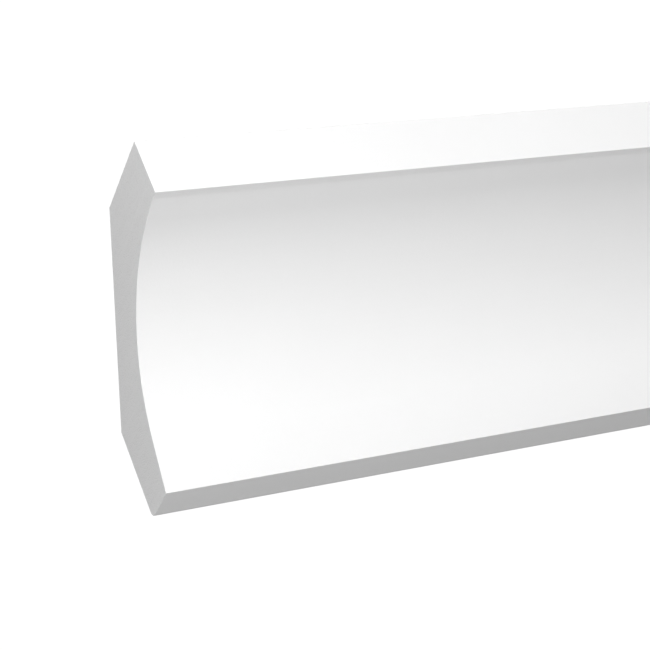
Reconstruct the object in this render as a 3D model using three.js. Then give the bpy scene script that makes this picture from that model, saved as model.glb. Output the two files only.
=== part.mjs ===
// A length of plain cove crown moulding: one solid bar, cut square at both ends, with the section
// of a sprung ceiling moulding. Millimetres, +Z up.
// X runs along the length, +Y points into the wall and +Z points up to the ceiling.
// The origin is the middle of the flat that beds on the wall.

import * as THREE from "three";

// Overall sizes
const LENGTH = 1000;
const PROJECTION = 100; // from the wall out to the front of the nose
const DROP = 101.6; // from the ceiling down to the underside

// Flats
const CEILING_BED = 38.5; // width of the flat that meets the ceiling
const WALL_BED = 39; // height of the side that meets the wall
const NOSE_HEIGHT = 24; // upright band at the front, below the ceiling
const LEDGE_WIDTH = 3.75; // level strip under the nose
const UNDERSIDE_WIDTH = 19; // level underside, out from the wall
const CORNER_RADIUS = 3.2; // rounding between the underside and the wall

// Cove: an upper flat that leaves the ledge, a lower flat that ends at the underside, and one arc
// that is tangent to both. The slopes are measured from level.
const COVE_RADIUS = 76.5;
const UPPER_SLOPE = THREE.MathUtils.degToRad(9);
const LOWER_SLOPE = THREE.MathUtils.degToRad(75);

// Straight steps that each arc is divided into
const COVE_STEPS = 40;
const CORNER_STEPS = 8;

const PRIMER_WHITE = 0xf4f4f2;
const QUARTER_TURN = Math.PI / 2;

// The origin is this far below the ceiling: half way up the flat part of the wall bed.
const ORIGIN_DROP = DROP - (WALL_BED + CORNER_RADIUS) / 2;

// A point of the section, from its distance out from the wall and down from the ceiling
function at(out, down) {
  return new THREE.Vector2(-out, ORIGIN_DROP - down);
}

// Where two lines cross, each given by a point and a direction
function crossing(pointA, directionA, pointB, directionB) {
  const between = pointB.clone().sub(pointA);
  const along = between.cross(directionB) / directionA.cross(directionB);
  return pointA.clone().addScaledVector(directionA, along);
}

// The arc that rounds the place where the two flats of the cove would meet
function coveArc(ledgeEnd, undersideEdge) {
  const inward = new THREE.Vector2(Math.cos(UPPER_SLOPE), -Math.sin(UPPER_SLOPE));
  const upward = new THREE.Vector2(-Math.cos(LOWER_SLOPE), Math.sin(LOWER_SLOPE));
  const meeting = crossing(ledgeEnd, inward, undersideEdge, upward);
  const setBack = COVE_RADIUS * Math.tan((LOWER_SLOPE - UPPER_SLOPE) / 2);
  const start = meeting.clone().addScaledVector(inward, -setBack);
  const towardsRoom = new THREE.Vector2(-Math.sin(UPPER_SLOPE), -Math.cos(UPPER_SLOPE));
  const centre = start.clone().addScaledVector(towardsRoom, COVE_RADIUS);
  const from = QUARTER_TURN - UPPER_SLOPE;
  const to = QUARTER_TURN - LOWER_SLOPE;
  return new THREE.EllipseCurve(centre.x, centre.y, COVE_RADIUS, COVE_RADIUS, from, to, true);
}

// The rounded lower corner at the wall, from the underside up to the wall bed
function cornerArc() {
  const centre = at(CORNER_RADIUS, DROP - CORNER_RADIUS);
  return new THREE.EllipseCurve(centre.x, centre.y, CORNER_RADIUS, CORNER_RADIUS, -QUARTER_TURN, 0);
}

// The section, from the back of the ceiling bed round by the nose, the cove and the wall
function mouldingSection() {
  const ceilingBack = at(PROJECTION - CEILING_BED, 0);
  const noseTop = at(PROJECTION, 0);
  const noseFoot = at(PROJECTION, NOSE_HEIGHT);
  const ledgeEnd = at(PROJECTION - LEDGE_WIDTH, NOSE_HEIGHT);
  const undersideEdge = at(UNDERSIDE_WIDTH, DROP);
  const wallTop = at(0, DROP - WALL_BED);
  return new THREE.Shape([
    ceilingBack,
    noseTop,
    noseFoot,
    ledgeEnd,
    ...coveArc(ledgeEnd, undersideEdge).getPoints(COVE_STEPS),
    undersideEdge,
    ...cornerArc().getPoints(CORNER_STEPS),
    wallTop,
  ]);
}

// The section is drawn facing along Z, so it is turned to face along X and centred on the length.
function mouldingLength() {
  const geometry = new THREE.ExtrudeGeometry(mouldingSection(), { depth: LENGTH, bevelEnabled: false });
  const primer = new THREE.MeshStandardMaterial({ color: PRIMER_WHITE, roughness: 0.6, metalness: 0 });
  const mesh = new THREE.Mesh(geometry, primer);
  mesh.name = "cove_crown_moulding";
  mesh.rotation.set(QUARTER_TURN, QUARTER_TURN, 0);
  mesh.position.x = -LENGTH / 2;
  return mesh;
}

const moulding = new THREE.Group();
moulding.add(mouldingLength());

export default moulding;
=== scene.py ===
"""A length of plain cove crown moulding, primed white and cut square, on a plain studio stage.

The section is drawn from a few sizes, rounded at its corners and carried along the length.
X runs along the length, +Y points into the wall and +Z points up to the ceiling. Metres.
"""

import math

import bpy
from bpy.props import FloatProperty, FloatVectorProperty, PointerProperty
from mathutils import Euler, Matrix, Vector


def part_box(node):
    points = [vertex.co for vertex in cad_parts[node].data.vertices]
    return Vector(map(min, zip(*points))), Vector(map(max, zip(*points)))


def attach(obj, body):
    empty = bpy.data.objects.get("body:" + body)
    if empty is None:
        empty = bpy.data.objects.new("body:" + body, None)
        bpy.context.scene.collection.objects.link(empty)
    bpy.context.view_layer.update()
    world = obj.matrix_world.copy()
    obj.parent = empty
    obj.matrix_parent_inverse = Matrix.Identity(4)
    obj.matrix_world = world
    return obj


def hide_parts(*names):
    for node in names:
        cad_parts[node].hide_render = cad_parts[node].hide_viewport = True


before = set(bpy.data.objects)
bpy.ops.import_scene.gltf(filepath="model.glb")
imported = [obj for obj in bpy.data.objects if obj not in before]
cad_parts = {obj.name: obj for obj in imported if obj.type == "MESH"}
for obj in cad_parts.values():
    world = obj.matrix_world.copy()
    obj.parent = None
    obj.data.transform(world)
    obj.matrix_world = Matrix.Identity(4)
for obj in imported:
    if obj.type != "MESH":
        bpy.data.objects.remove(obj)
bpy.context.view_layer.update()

bl_info = {
    "name": "Cove crown moulding",
    "version": (1, 0, 0),
    "blender": (4, 5, 0),
    "location": "View3D > Sidebar > Moulding",
    "description": "Makes a primed length of cove crown moulding and a plain studio stage for it",
    "category": "Object",
}

# The imported model: the box it fills, and its node and body
NODE = "cove_crown_moulding"
BODY = "root"
LOWEST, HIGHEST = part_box(NODE)
SIZE = HIGHEST - LOWEST

# What this script makes
PIECE = "crown_moulding_length"

MM = 0.001
QUARTER_TURN = math.pi / 2
WHITE = (1, 1, 1)


# Kinds of property that the groups below share

def length_property(name, description, default):
    return FloatProperty(
        name=name, description=description, default=default, min=0, precision=5, unit="LENGTH")


def angle_property(name, description, degrees):
    return FloatProperty(
        name=name, description=description, default=math.radians(degrees), subtype="ANGLE")


def colour_property(name, description, default):
    return FloatVectorProperty(
        name=name, description=description, default=default, min=0, max=1, subtype="COLOR")


def share_property(name, description, default):
    return FloatProperty(
        name=name, description=description, default=default, min=0, max=1, subtype="FACTOR")


def strength_property(name, description, default):
    return FloatProperty(name=name, description=description, default=default, min=0)


def power_property(name, description, default):
    return FloatProperty(name=name, description=description, default=default, min=0, unit="POWER")


class MouldingSizes(bpy.types.PropertyGroup):
    """Sizes of the section, and of the small roundings that a primed edge has"""

    length: length_property("Length", "Cut length of the moulding", SIZE.x)
    projection: length_property("Projection", "From the wall out to the front of the nose", SIZE.y)
    drop: length_property("Drop", "From the ceiling down to the underside", SIZE.z)
    ceiling_bed: length_property("Ceiling bed", "Width of the flat that meets the ceiling", 38.5 * MM)
    wall_bed: length_property("Wall bed", "Height of the side that meets the wall", 39 * MM)
    nose_height: length_property("Nose height", "Upright band at the front, below the ceiling", 24 * MM)
    ledge_width: length_property("Ledge width", "Level strip under the nose", 3.75 * MM)
    underside_width: length_property("Underside width", "Level underside, out from the wall", 19 * MM)
    cove_radius: length_property("Cove radius", "Radius of the hollow face", 76.5 * MM)
    upper_slope: angle_property("Upper slope", "Slope of the flat that leaves the ledge, from level", 9)
    lower_slope: angle_property("Lower slope", "Slope of the flat above the underside, from level", 75)
    corner_radius: length_property("Corner radius", "Rounding between the underside and the wall", 3.2 * MM)
    ledge_easing: length_property("Ledge easing", "Rounding where the ledge runs into the cove", 10 * MM)
    arris: length_property("Arris", "Rounding of the sharp long edges", 0.15 * MM)
    cut_arris: length_property("Cut arris", "Rounding of the edges that the saw leaves", 0.07 * MM)


class MouldingFinish(bpy.types.PropertyGroup):
    """Colours and surface detail of the primed face, the raw back and the sawn ends"""

    primer_colour: colour_property("Primer colour", "Colour of the primed faces", (0.86, 0.86, 0.86))
    back_colour: colour_property("Back colour", "Colour of the raw back and beds", (0.82, 0.82, 0.81))
    cut_colour: colour_property("Cut colour", "Colour of the sawn ends", (0.875, 0.875, 0.875))
    primer_roughness: share_property("Primer roughness", "Mean roughness of the primed faces", 0.55)
    raw_roughness: share_property("Raw roughness", "Mean roughness of the back and the sawn ends", 0.75)
    roughness_swing: share_property("Roughness swing", "From the smoothest patches to the roughest", 0.1)
    peel_swing: share_property("Peel swing", "The same within the dimples of the primer", 0.08)
    peel_size: length_property("Peel size", "Distance across one dimple of the sprayed primer", 0.9 * MM)
    peel_depth: length_property("Peel depth", "Depth of those dimples", 0.04 * MM)
    draw_spacing: length_property("Draw line spacing", "Gap between the lines along the length", 5 * MM)
    draw_depth: length_property("Draw line depth", "Depth of those lines on the primed faces", 0.09 * MM)
    mould_depth: length_property("Mould line depth", "Depth of those lines on the raw back", 0.25 * MM)
    pore_spacing: length_property("Pore spacing", "Distance between the pores of the cut core", 0.8 * MM)
    pore_depth: length_property("Pore depth", "Depth of the pores that the saw opened", 0.05 * MM)
    saw_spacing: length_property("Saw mark spacing", "Distance between the marks of the saw", 1.6 * MM)
    saw_depth: length_property("Saw mark depth", "Depth of those marks", 0.03 * MM)
    patch_size: length_property("Patch size", "Distance between the slow changes of tone", 60 * MM)
    unevenness: share_property("Unevenness", "How much darker the darkest patches are", 0.03)
    # On the sawn ends this also sets how dark the painted shade in the pores is
    raw_unevenness_and_pore_shade: share_property("Raw unevenness", "The same for the raw back and the sawn ends", 0.1)


class StudioSettings(bpy.types.PropertyGroup):
    """Camera, light and floor of the stage"""

    camera_place: FloatVectorProperty(
        name="Camera place", description="Where the camera stands", subtype="TRANSLATION", unit="LENGTH",
        default=(-0.75404, -0.57429, -0.30295), precision=5)
    camera_turn: FloatVectorProperty(
        name="Camera turn", description="How the camera is turned, about X, Y and Z", subtype="EULER",
        default=(math.radians(119.982), math.radians(21.088), math.radians(-20.288)))
    lens: FloatProperty(
        name="Lens", description="Focal length, in millimetres", default=100, min=1, unit="CAMERA")
    floor_depth: length_property("Floor depth", "From the underside of the moulding down to the floor", 0.6)
    floor_reach: length_property("Floor reach", "From the middle of the floor to its rim", 5)
    floor_colour: colour_property("Floor colour", "Colour of the floor", (0.8, 0.8, 0.8))
    floor_strength: strength_property("Floor light", "Strength of the light on the floor", 1)
    backdrop_low: colour_property("Low backdrop", "Colour of the backdrop low down", (0.45, 0.45, 0.45))
    backdrop_high: colour_property("High backdrop", "Colour of the backdrop overhead", WHITE)
    backdrop_strength: strength_property(
        "Backdrop strength", "Over 1, so that the high backdrop is clean white", 1.05)
    room_light: strength_property("Room light", "Strength of the even light from all round", 0.31)
    top_power: power_property("Top light", "Power of the long soft light overhead", 4.3)
    left_power: power_property("Left light", "Power of the soft light low on the left", 4.95)
    near_power: power_property("Near light", "Power of the small soft light close to the left end", 1.7)
    right_power: power_property("Right light", "Power of the soft light in front of the right half", 2.8)
    back_power: power_property("Back light", "Power of the wide soft light behind the moulding", 11)
    end_power: power_property("End light", "Power of the soft light beside the right end", 6)


# Section: the outline is a list of corners, each rounded by its own radius

def crossing(point_a, direction_a, point_b, direction_b):
    """Where two lines cross, each given by a point and a direction."""
    between = point_b - point_a
    along = between.cross(direction_b) / direction_a.cross(direction_b)
    return point_a + along * direction_a


def section_corners(sizes):
    """The corners of the section with their radii, from the back of the ceiling bed round by the nose."""
    ceiling = HIGHEST.z

    def at(out, down):
        return Vector((-out, ceiling - down))

    ceiling_back = at(sizes.projection - sizes.ceiling_bed, 0)
    nose_top = at(sizes.projection, 0)
    nose_foot = at(sizes.projection, sizes.nose_height)
    ledge_end = at(sizes.projection - sizes.ledge_width, sizes.nose_height)
    underside_edge = at(sizes.underside_width, sizes.drop)
    wall_foot = at(0, sizes.drop)
    wall_top = at(0, sizes.drop - sizes.wall_bed)
    upper_flat = Vector((math.cos(sizes.upper_slope), -math.sin(sizes.upper_slope)))
    lower_flat = Vector((math.cos(sizes.lower_slope), -math.sin(sizes.lower_slope)))
    cove_corner = crossing(ledge_end, upper_flat, underside_edge, lower_flat)
    return [
        (ceiling_back, sizes.arris),
        (nose_top, sizes.arris),
        (nose_foot, sizes.arris),
        (ledge_end, sizes.ledge_easing),
        (cove_corner, sizes.cove_radius),
        (underside_edge, sizes.arris),
        (wall_foot, sizes.corner_radius),
        (wall_top, sizes.arris),
    ]


def outward(heading):
    """The direction out of a section that is drawn anticlockwise, where its outline runs along heading."""
    return Vector((math.sin(heading), -math.cos(heading)))


def rounded_outline(corners, facet=1 * MM, fewest_steps=10):
    """Points of the closed outline with their outward directions, its corners turned into arcs."""
    outline = []
    for index, (corner, radius) in enumerate(corners):
        before = corners[index - 1][0]
        after = corners[(index + 1) % len(corners)][0]
        arriving = (corner - before).normalized()
        leaving = (after - corner).normalized()
        heading = math.atan2(arriving.y, arriving.x)
        turn = math.atan2(arriving.cross(leaving), arriving.dot(leaving))
        bend = math.copysign(radius, turn)
        start = corner - arriving * (radius * math.tan(abs(turn) / 2))
        centre = start - outward(heading) * bend
        steps = max(fewest_steps, math.ceil(radius * abs(turn) / facet))
        for step in range(steps + 1):
            facing = outward(heading + turn * step / steps)
            outline.append((centre + facing * bend, facing))
    return outline


# Mesh: the outline is carried along X and closed at both sawn ends

PRIMED_FINISH, BACK_FINISH, CUT_FINISH = range(3)


def strip_finish(facing, least=0.02):
    """A strip that faces the room or the floor is primed, and the beds and the back are left raw."""
    return PRIMED_FINISH if min(facing) < -least else BACK_FINISH


def length_stations(sizes, spans=50, arris_steps=4):
    """Places along X, with how far the outline draws in at each and how far its faces lean to the end."""
    middle = LOWEST.x + SIZE.x / 2
    half = sizes.length / 2
    plain = half - sizes.cut_arris
    right_end = []
    for step in range(1, arris_steps + 1):
        lean = QUARTER_TURN * step / arris_steps
        place = plain + sizes.cut_arris * math.sin(lean)
        right_end.append((place, sizes.cut_arris * (1 - math.cos(lean)), lean))
    left_end = [(-place, inset, -lean) for place, inset, lean in reversed(right_end)]
    body = [(plain * (2 * span / spans - 1), 0, 0) for span in range(spans + 1)]
    return [(middle + place, inset, lean) for place, inset, lean in left_end + body + right_end]


def moulding_mesh(name, sizes):
    """The closed mesh, with its true surface directions and a finish for each face."""
    outline = rounded_outline(section_corners(sizes))
    stations = length_stations(sizes)
    count = len(outline)
    points = []
    directions = []
    for place, inset, lean in stations:
        for point, facing in outline:
            drawn_in = point - facing * inset
            points.append((place, drawn_in.x, drawn_in.y))
            directions.append((math.sin(lean), facing.x * math.cos(lean), facing.y * math.cos(lean)))
    faces = [list(reversed(range(count)))]
    finishes = [CUT_FINISH]
    for ring in range(len(stations) - 1):
        low = ring * count
        high = low + count
        for index in range(count):
            following = (index + 1) % count
            faces.append([low + index, low + following, high + following, high + index])
            finishes.append(strip_finish(outline[index][1] + outline[following][1]))
    faces.append(list(range(len(points) - count, len(points))))
    finishes.append(CUT_FINISH)
    mesh = bpy.data.meshes.new(name)
    mesh.from_pydata(points, [], faces)
    mesh.shade_smooth()
    mesh.normals_split_custom_set_from_vertices(directions)
    mesh.polygons.foreach_set("material_index", finishes)
    return mesh


# Shader maths

class Wire:
    """An output socket that takes part in Python arithmetic, where each operation adds a Math node."""

    def __init__(self, socket):
        self.socket = socket

    def maths(self, operation, first, second):
        sockets = {"Value": first, "Value_001": second}
        return Graph(self.socket.id_data).node("ShaderNodeMath", {"operation": operation}, sockets, "Value")

    def __add__(self, other):
        return self.maths("ADD", self, other)

    def __radd__(self, other):
        return self.maths("ADD", other, self)

    def __sub__(self, other):
        return self.maths("SUBTRACT", self, other)

    def __rsub__(self, other):
        return self.maths("SUBTRACT", other, self)

    def __mul__(self, other):
        return self.maths("MULTIPLY", self, other)

    def __rmul__(self, other):
        return self.maths("MULTIPLY", other, self)


def opaque(colour):
    return (*colour, 1)


def darker(colour, share):
    return [part * (1 - share) for part in colour]


def swing(amount, pattern):
    """From minus half of the amount to plus half of it, as the pattern goes from 0 to 1."""
    return amount * (pattern - 0.5)


class Graph:
    """The node tree of one finish, or of the light all round."""

    def __init__(self, tree):
        self.tree = tree

    def node(self, kind, settings, sockets, output=None):
        """Adds a node: its settings first, then the values or links of its sockets."""
        made = self.tree.nodes.new(kind)
        for name, value in settings.items():
            setattr(made, name, value)
        for identifier, value in sockets.items():
            entry = next(socket for socket in made.inputs if socket.identifier == identifier)
            if isinstance(value, Wire):
                self.tree.links.new(value.socket, entry)
            else:
                entry.default_value = value
        if output is None:
            return made
        return Wire(next(socket for socket in made.outputs if socket.identifier == output))

    def place(self):
        """Where a point is, in metres from the origin."""
        return self.node("ShaderNodeTexCoord", {}, {}, "Object")

    def stretched(self, place, stretch):
        """The place with its three directions scaled, so that a pattern on it runs long."""
        sockets = {"Vector": place, "Vector_001": stretch}
        return self.node("ShaderNodeVectorMath", {"operation": "MULTIPLY"}, sockets, "Vector")

    def noise(self, place, spacing, detail=2):
        """Soft noise from 0 to 1 with this distance between its patches."""
        sockets = {"Vector": place, "Scale": 1 / spacing, "Detail": detail}
        return self.node("ShaderNodeTexNoise", {}, sockets, "Fac")

    def pores(self, place, spacing, inner=0.15, outer=0.45):
        """Scattered round pores with this distance between their middles: 1 inside them and 0 outside.
        Each fades out between two radii, which are shares of that distance."""
        sockets = {"Vector": place, "Scale": 1 / spacing}
        nearest = self.node("ShaderNodeTexVoronoi", {"feature": "F1"}, sockets, "Distance")
        return 1 - self.ramp(nearest, inner, outer)

    def tint(self, share, colour, other):
        """One colour that turns into the other as the share goes from 0 to 1."""
        sockets = {"Factor_Float": share, "A_Color": opaque(colour), "B_Color": opaque(other)}
        return self.node("ShaderNodeMix", {"data_type": "RGBA"}, sockets, "Result_Color")

    def surface(self, colour, roughness, relief):
        """The shader of a plain surface with this relief, in metres."""
        bump = self.node("ShaderNodeBump", {}, {"Height": relief, "Distance": 1}, "Normal")
        sockets = {"Base Color": colour, "Roughness": roughness, "Normal": bump}
        return self.node("ShaderNodeBsdfPrincipled", {}, sockets, "BSDF")

    def ramp(self, value, low, high):
        """A smooth rise from 0, where the value is low, to 1, where it is high."""
        sockets = {"Value": value, "From Min": low, "From Max": high}
        return self.node("ShaderNodeMapRange", {"interpolation_type": "SMOOTHSTEP"}, sockets, "Result")

    def blend(self, share, shader, other):
        """One shader that turns into the other as the share goes from 0 to 1."""
        sockets = {"Fac": share, "Shader": shader, "Shader_001": other}
        return self.node("ShaderNodeMixShader", {}, sockets, "Shader")

    def finish(self, shader):
        """Sends the shader to the material's output."""
        self.node("ShaderNodeOutputMaterial", {}, {"Surface": shader})


def new_finish(name):
    """An empty material and the graph to fill it with."""
    material = bpy.data.materials.new(name)
    material.use_nodes = True
    material.node_tree.nodes.clear()
    return material, Graph(material.node_tree)


# Finishes

# How a pattern is stretched, along X, Y and Z, so that it runs along the length or across a sawn end
ALONG_LENGTH = (0.02, 1, 1)
ACROSS_END = (1, 0.03, 1)

# Shares of the darkening that come from the lines on the raw back, and from the pores on the sawn ends,
# where it is painted shade in the pits
LINE_SHARE = 0.5
PORE_SHARE = 0.6


def primed_face(finish):
    """Sprayed white primer: fine dimples, faint lines along the length and slow changes of tone."""
    material, graph = new_finish("primed_face")
    place = graph.place()
    peel = graph.noise(place, finish.peel_size, detail=5)
    lines = graph.noise(graph.stretched(place, ALONG_LENGTH), finish.draw_spacing)
    patches = graph.noise(place, finish.patch_size)
    tone = graph.tint(patches, finish.primer_colour, darker(finish.primer_colour, finish.unevenness))
    patchy = finish.primer_roughness + swing(finish.roughness_swing, patches)
    roughness = patchy + swing(finish.peel_swing, peel)
    relief = finish.peel_depth * peel + finish.draw_depth * lines
    graph.finish(graph.surface(tone, roughness, relief))
    return material


def raw_back(finish):
    """The unprimed back and beds: long lines from the mould and a duller, more uneven white."""
    material, graph = new_finish("raw_back")
    place = graph.place()
    lines = graph.noise(graph.stretched(place, ALONG_LENGTH), finish.draw_spacing, detail=4)
    patches = graph.noise(place, finish.patch_size, detail=3)
    grain = graph.noise(place, finish.peel_size, detail=5)
    shade = LINE_SHARE * lines + (1 - LINE_SHARE) * patches
    tone = graph.tint(shade, finish.back_colour, darker(finish.back_colour, finish.raw_unevenness_and_pore_shade))
    roughness = finish.raw_roughness + swing(finish.roughness_swing, lines)
    relief = finish.mould_depth * lines + finish.peel_depth * grain
    graph.finish(graph.surface(tone, roughness, relief))
    return material


def sawn_end(finish):
    """The cut core: small opened pores, crossed by the faint marks of the saw. The pores are also painted
    darker, a painted shade in the pits.
    """
    material, graph = new_finish("sawn_end")
    place = graph.place()
    pores = graph.pores(place, finish.pore_spacing)
    marks = graph.noise(graph.stretched(place, ACROSS_END), finish.saw_spacing)
    shade = PORE_SHARE * pores + (1 - PORE_SHARE) * marks
    # Painted shade: the colour darkens inside the pores, which are the pits of the relief below. The saw
    # marks add a real change of tone.
    tone = graph.tint(shade, finish.cut_colour, darker(finish.cut_colour, finish.raw_unevenness_and_pore_shade))
    roughness = finish.raw_roughness + swing(finish.roughness_swing, marks)
    relief = finish.saw_depth * marks - finish.pore_depth * pores
    graph.finish(graph.surface(tone, roughness, relief))
    return material


# Stage

# Floor: the straight sides of its rim, its faint mottle, and the shares of its reach where it fades
FLOOR_SIDES = 96
FLOOR_ROUGHNESS = 0.8
MOTTLE_SPACING = 0.15
MOTTLE_UNEVENNESS = 0.02
MOTTLE_DEPTH = 0.02 * MM
FADE_START = 0.3
FADE_END = 0.98

# Backdrop: how steeply the line of sight rises, as a sine, where it starts to pale and where it is palest
PALING_START = 0.08
PALING_END = 0.24

# The stretch that the camera sees has its middle here, along from the middle of the length
SEEN_STRETCH = -0.38


def show(data, name):
    """A new object for this data, in the scene."""
    made = bpy.data.objects.new(name, data)
    bpy.context.scene.collection.objects.link(made)
    return made


def floor_disc(reach, level):
    """A flat round mesh at this level."""
    rim = []
    for side in range(FLOOR_SIDES):
        angle = 2 * math.pi * side / FLOOR_SIDES
        rim.append((reach * math.cos(angle), reach * math.sin(angle), level))
    mesh = bpy.data.meshes.new("pale_floor")
    mesh.from_pydata(rim, [], [list(range(FLOOR_SIDES))])
    return mesh


def floor_finish(studio):
    """A plain pale surface that fades into the backdrop and doesn't show from below."""
    material, graph = new_finish("pale_floor")
    place = graph.place()
    mottle = graph.noise(place, MOTTLE_SPACING)
    tone = graph.tint(mottle, studio.floor_colour, darker(studio.floor_colour, MOTTLE_UNEVENNESS))
    shader = graph.surface(tone, FLOOR_ROUGHNESS, MOTTLE_DEPTH * mottle)
    clear = graph.node("ShaderNodeBsdfTransparent", {}, {}, "BSDF")
    distance = graph.node("ShaderNodeVectorMath", {"operation": "LENGTH"}, {"Vector": place}, "Value")
    gone = graph.ramp(distance, FADE_START * studio.floor_reach, FADE_END * studio.floor_reach)
    from_below = graph.node("ShaderNodeNewGeometry", {}, {}, "Backfacing")
    graph.finish(graph.blend(from_below, graph.blend(gone, shader, clear), clear))
    return material


def pale_floor(studio):
    """A wide round floor below the moulding, which takes no part in its light."""
    mesh = floor_disc(studio.floor_reach, LOWEST.z - studio.floor_depth)
    mesh.materials.append(floor_finish(studio))
    floor = show(mesh, "pale_floor")
    floor.visible_diffuse = False
    floor.visible_glossy = False
    floor.visible_shadow = False
    return floor


def falls_on(light, thing):
    """The light falls on this one thing and leaves the rest of the stage alone."""
    lit = bpy.data.collections.new("lit_by_" + light.name)
    lit.objects.link(thing)
    light.light_linking.receiver_collection = lit


def floor_light(floor, strength, spread=math.radians(50)):
    """Even light from straight above, for the floor."""
    data = bpy.data.lights.new("floor_light", "SUN")
    data.energy = strength
    data.angle = spread
    falls_on(show(data, "floor_light"), floor)


def soft_light(name, piece, power, along=0, azimuth=0, elevation=0, distance=1, width=0.8, height=0.8):
    """A soft light that falls on the piece and doesn't show in the picture.
    It faces a spot this far along from the middle of the piece. Seen from that spot,
    azimuth 0 is straight in front and 90 is on the right, in degrees."""
    data = bpy.data.lights.new(name, "AREA")
    data.shape = "RECTANGLE"
    data.size = width
    data.size_y = height
    data.energy = power
    spot = (LOWEST + HIGHEST) / 2 + Vector((along, 0, 0))
    heading = math.radians(azimuth)
    lift = math.radians(elevation)
    away = Vector((math.sin(heading) * math.cos(lift), -math.cos(heading) * math.cos(lift), math.sin(lift)))
    light = show(data, name)
    light.location = spot + away * distance
    light.rotation_euler = (-away).to_track_quat("-Z", "Y").to_euler()
    light.visible_camera = False
    falls_on(light, piece)


def soft_lights(studio, piece):
    """The soft lights round the moulding, of which two face the stretch that the camera sees."""
    soft_light("top_light", piece, studio.top_power, elevation=65, distance=1.2, width=2)
    soft_light("left_light", piece, studio.left_power, along=SEEN_STRETCH, azimuth=-30, elevation=-25)
    soft_light(
        "near_light", piece, studio.near_power,
        along=SEEN_STRETCH, azimuth=-30, elevation=-10, distance=0.6, width=0.5, height=0.5)
    soft_light(
        "right_light", piece, studio.right_power,
        along=0.35, azimuth=20, elevation=10, distance=0.7, height=0.6)
    soft_light(
        "back_light", piece, studio.back_power,
        azimuth=180, elevation=32, distance=1.35, width=1.2)
    soft_light(
        "end_light", piece, studio.end_power,
        along=SIZE.x / 2, azimuth=101, elevation=15, distance=1.05)


def light_all_round(studio):
    """A backdrop for the camera that pales upwards, and a weaker even light on the moulding."""
    world = bpy.data.worlds.new("light_all_round")
    world.use_nodes = True
    world.node_tree.nodes.clear()
    graph = Graph(world.node_tree)
    even = {"Color": opaque(WHITE), "Strength": studio.room_light}
    light = graph.node("ShaderNodeBackground", {}, even, "Background")
    direction = graph.node("ShaderNodeTexCoord", {}, {}, "Generated")
    rise = graph.node("ShaderNodeSeparateXYZ", {}, {"Vector": direction}, "Z")
    paling = graph.ramp(rise, PALING_START, PALING_END)
    graded = graph.tint(paling, studio.backdrop_low, studio.backdrop_high)
    seen_light = {"Color": graded, "Strength": studio.backdrop_strength}
    backdrop = graph.node("ShaderNodeBackground", {}, seen_light, "Background")
    seen = graph.node("ShaderNodeLightPath", {}, {}, "Is Camera Ray")
    graph.node("ShaderNodeOutputWorld", {}, {"Surface": graph.blend(seen, light, backdrop)})
    bpy.context.scene.world = world


def stand_camera(studio):
    """The camera, below and in front of the left end and looking up along the cove."""
    data = bpy.data.cameras.new("camera")
    data.lens = studio.lens
    camera = show(data, "camera")
    camera.location = studio.camera_place
    camera.rotation_euler = Euler(studio.camera_turn)
    bpy.context.scene.camera = camera


# Operators

class MOULDING_OT_make_length(bpy.types.Operator):
    """Make the length of moulding in place of its plain solid"""

    bl_idname = "moulding.make_length"
    bl_label = "Make moulding length"

    def execute(self, context):
        scene = context.scene
        mesh = moulding_mesh(PIECE, scene.moulding_sizes)
        finish = scene.moulding_finish
        for material in (primed_face(finish), raw_back(finish), sawn_end(finish)):
            mesh.materials.append(material)
        piece = show(mesh, PIECE)
        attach(piece, BODY)
        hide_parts(NODE)
        return {"FINISHED"}


class MOULDING_OT_set_stage(bpy.types.Operator):
    """Set the floor, the light and the camera"""

    bl_idname = "moulding.set_stage"
    bl_label = "Set stage"

    def execute(self, context):
        studio = context.scene.moulding_studio
        light_all_round(studio)
        floor_light(pale_floor(studio), studio.floor_strength)
        soft_lights(studio, bpy.data.objects[PIECE])
        stand_camera(studio)
        context.scene.view_settings.view_transform = "Standard"
        return {"FINISHED"}


class MOULDING_PT_sidebar(bpy.types.Panel):
    """The sizes, the finish and the stage, with the operators that use them"""

    bl_idname = "MOULDING_PT_sidebar"
    bl_label = "Cove crown moulding"
    bl_space_type = "VIEW_3D"
    bl_region_type = "UI"
    bl_category = "Moulding"

    def draw(self, context):
        scene = context.scene
        self.list_properties(scene.moulding_sizes)
        self.list_properties(scene.moulding_finish)
        self.layout.operator(MOULDING_OT_make_length.bl_idname)
        self.list_properties(scene.moulding_studio)
        self.layout.operator(MOULDING_OT_set_stage.bl_idname)

    def list_properties(self, group):
        column = self.layout.column(align=True)
        for name in group.__annotations__:
            column.prop(group, name)


CLASSES = (
    MouldingSizes,
    MouldingFinish,
    StudioSettings,
    MOULDING_OT_make_length,
    MOULDING_OT_set_stage,
    MOULDING_PT_sidebar,
)


def register():
    for each in CLASSES:
        bpy.utils.register_class(each)
    bpy.types.Scene.moulding_sizes = PointerProperty(type=MouldingSizes)
    bpy.types.Scene.moulding_finish = PointerProperty(type=MouldingFinish)
    bpy.types.Scene.moulding_studio = PointerProperty(type=StudioSettings)


def unregister():
    del bpy.types.Scene.moulding_studio
    del bpy.types.Scene.moulding_finish
    del bpy.types.Scene.moulding_sizes
    for each in reversed(CLASSES):
        bpy.utils.unregister_class(each)


def main():
    register()
    bpy.ops.moulding.make_length()
    bpy.ops.moulding.set_stage()


if __name__ == "__main__":
    main()
